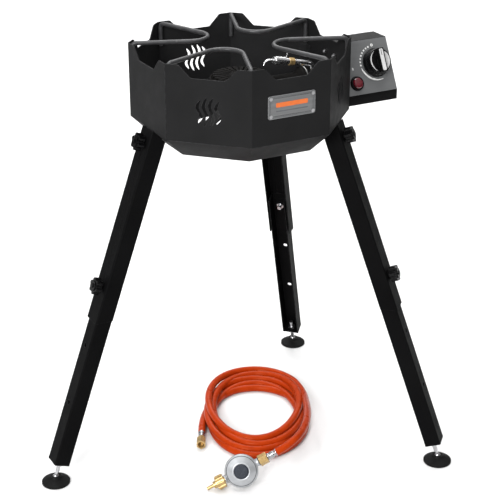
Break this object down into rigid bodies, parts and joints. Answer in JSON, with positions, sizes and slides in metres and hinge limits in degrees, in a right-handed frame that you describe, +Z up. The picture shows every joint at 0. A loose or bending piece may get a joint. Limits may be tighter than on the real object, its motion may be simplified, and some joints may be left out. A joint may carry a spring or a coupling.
{
  "type": "propane burner stand",
  "caption": "Octagonal propane burner stand on telescoping legs with an igniter control box, levelling feet and a coiled gas hose with its regulator.",
  "frame": {"origin": "on the floor, at the centre of the rectangle round the three feet", "axes": "+Z up, +X towards the control box, -Y towards the panel with the badge"},
  "size_m": [0.7294, 0.6134, 0.8075],
  "materials": {
    "screen_black": "satin black powder coat",
    "screen_grey": "satin black powder coat",
    "steel_fixings": "zinc-plated steel",
    "rod_grey": "satin black coated rod",
    "cast_burner": "raw cast iron",
    "black_paint": "satin black paint",
    "zinc_plate": "zinc-plated sheet",
    "brass_fittings": "machined brass",
    "bright_steel": "bright plated steel",
    "leg_black": "satin black powder coat",
    "knob_black": "moulded black plastic",
    "pad_rubber": "black rubber",
    "badge_alu": "brushed plate",
    "fascia_grey": "grey satin metal",
    "button_red": "translucent red",
    "hose_orange": "smooth orange hose",
    "regulator_alu": "cast and painted light grey",
    "cap_slate": "slate plastic"
  },
  "bodies": {
    "stand": {"windscreen_front": "screen_black", "windscreen_rear": "screen_grey", "frame_bolts": "steel_fixings", "pot_rest_front_left": "rod_grey", "pot_rest_front_right": "rod_grey", "pot_rest_rear_right": "rod_grey", "pot_rest_rear_left": "rod_grey", "base_pan": "screen_black", "burner_strap": "black_paint", "burner_bowl": "cast_burner", "burner_cap": "cast_burner", "gas_jet": "brass_fittings", "supply_pipe": "bright_steel", "igniter_conduit": "bright_steel", "igniter_nut": "brass_fittings", "igniter_holder": "bright_steel", "electrodes": "bright_steel", "leg_brackets": "black_paint", "outer_leg_right": "leg_black", "outer_leg_rear": "leg_black", "outer_leg_left": "leg_black", "badge_plate": "badge_alu", "badge_rivets": "steel_fixings", "control_housing": "black_paint", "control_floor": "black_paint", "control_fascia": "fascia_grey", "gas_valve": "brass_fittings", "igniter_case": "knob_black", "box_screws": "steel_fixings", "gas_inlet": "brass_fittings", "hose_coil": "hose_orange", "hose_tail_stove": "hose_orange", "hose_tail_regulator": "hose_orange", "hose_ferrules": "bright_steel", "regulator_nut": "brass_fittings", "regulator_body": "regulator_alu", "regulator_cap": "cap_slate"},
    "leg_right": {"inner_leg_right": "leg_black", "leg_fixings_right": "steel_fixings"},
    "foot_stud_right": {"foot_stud_right": "steel_fixings"},
    "foot_pad_right": {"foot_pad_right": "pad_rubber"},
    "top_knob_right": {"top_knob_right": "knob_black"},
    "height_knob_right": {"height_knob_right": "knob_black"},
    "leg_rear": {"inner_leg_rear": "leg_black", "leg_fixings_rear": "steel_fixings"},
    "foot_stud_rear": {"foot_stud_rear": "steel_fixings"},
    "foot_pad_rear": {"foot_pad_rear": "pad_rubber"},
    "top_knob_rear": {"top_knob_rear": "knob_black"},
    "height_knob_rear": {"height_knob_rear": "knob_black"},
    "leg_left": {"inner_leg_left": "leg_black", "leg_fixings_left": "steel_fixings"},
    "foot_stud_left": {"foot_stud_left": "steel_fixings"},
    "foot_pad_left": {"foot_pad_left": "pad_rubber"},
    "top_knob_left": {"top_knob_left": "knob_black"},
    "height_knob_left": {"height_knob_left": "knob_black"},
    "gas_knob": {"gas_knob": "knob_black"},
    "igniter_button": {"igniter_button": "button_red"},
    "air_shutter": {"air_shutter": "zinc_plate"},
    "stove_nut": {"stove_nut": "brass_fittings"},
    "cylinder_nut": {"cylinder_nut": "brass_fittings"}
  },
  "joints": [
    {"name": "leg_slide_right", "type": "slide", "parent": "stand", "child": "leg_right", "axis": [0.2352, -0.2352, -0.943], "range_m": [-0.232, 0]},
    {"name": "foot_level_right", "type": "slide", "parent": "leg_right", "child": "foot_stud_right", "axis": [0.2352, -0.2352, -0.943], "range_m": [-0.008, 0.008]},
    {"name": "foot_tilt_right", "type": "hinge", "parent": "foot_stud_right", "child": "foot_pad_right", "pos_m": [0.3382, -0.28017, 0.013], "axis": [0.7071, 0.7071, 0], "range_deg": [-15, 15]},
    {"name": "top_knob_turn_right", "type": "hinge", "parent": "stand", "child": "top_knob_right", "pos_m": [0.1959, -0.13788, 0.6436], "axis": [0.6668, -0.6668, 0.3327], "continuous": true},
    {"name": "height_knob_turn_right", "type": "hinge", "parent": "stand", "child": "height_knob_right", "pos_m": [0.26083, -0.2028, 0.38331], "axis": [0.6668, -0.6668, 0.3327], "continuous": true},
    {"name": "leg_slide_rear", "type": "slide", "parent": "stand", "child": "leg_rear", "axis": [0.2352, 0.2352, -0.943], "range_m": [-0.232, 0]},
    {"name": "foot_level_rear", "type": "slide", "parent": "leg_rear", "child": "foot_stud_rear", "axis": [0.2352, 0.2352, -0.943], "range_m": [-0.008, 0.008]},
    {"name": "foot_tilt_rear", "type": "hinge", "parent": "foot_stud_rear", "child": "foot_pad_rear", "pos_m": [0.3382, 0.28017, 0.013], "axis": [-0.7071, 0.7071, 0], "range_deg": [-15, 15]},
    {"name": "top_knob_turn_rear", "type": "hinge", "parent": "stand", "child": "top_knob_rear", "pos_m": [0.1959, 0.13788, 0.6436], "axis": [0.6668, 0.6668, 0.3327], "continuous": true},
    {"name": "height_knob_turn_rear", "type": "hinge", "parent": "stand", "child": "height_knob_rear", "pos_m": [0.26083, 0.2028, 0.38331], "axis": [0.6668, 0.6668, 0.3327], "continuous": true},
    {"name": "leg_slide_left", "type": "slide", "parent": "stand", "child": "leg_left", "axis": [-0.3327, 0, -0.943], "range_m": [-0.232, 0]},
    {"name": "foot_level_left", "type": "slide", "parent": "leg_left", "child": "foot_stud_left", "axis": [-0.3327, 0, -0.943], "range_m": [-0.008, 0.008]},
    {"name": "foot_tilt_left", "type": "hinge", "parent": "foot_stud_left", "child": "foot_pad_left", "pos_m": [-0.3382, 0, 0.013], "axis": [0, -1, 0], "range_deg": [-15, 15]},
    {"name": "top_knob_turn_left", "type": "hinge", "parent": "stand", "child": "top_knob_left", "pos_m": [-0.13697, 0, 0.6436], "axis": [-0.943, 0, 0.3327], "continuous": true},
    {"name": "height_knob_turn_left", "type": "hinge", "parent": "stand", "child": "height_knob_left", "pos_m": [-0.22878, 0, 0.38331], "axis": [-0.943, 0, 0.3327], "continuous": true},
    {"name": "gas_knob_turn", "type": "hinge", "parent": "stand", "child": "gas_knob", "pos_m": [0.3155, -0.04597, 0.73897], "axis": [0, -0.8904, 0.4551], "range_deg": [0, 225]},
    {"name": "igniter_push", "type": "slide", "parent": "stand", "child": "igniter_button", "axis": [0, -0.8904, 0.4551], "range_m": [-0.005, 0], "stiffness_N_per_m": 600},
    {"name": "air_shutter_turn", "type": "hinge", "parent": "stand", "child": "air_shutter", "pos_m": [0.18702, 0, 0.71549], "axis": [1, 0, 0], "range_deg": [0, 90]},
    {"name": "stove_nut_turn", "type": "hinge", "parent": "stand", "child": "stove_nut", "pos_m": [-0.02528, 0.01192, 0.0102], "axis": [-0.4741, -0.8805, 0], "continuous": true},
    {"name": "cylinder_nut_turn", "type": "hinge", "parent": "stand", "child": "cylinder_nut", "pos_m": [-0.03733, -0.17921, 0.035], "axis": [0.8669, -0.2524, 0.4299], "continuous": true}
  ]
}
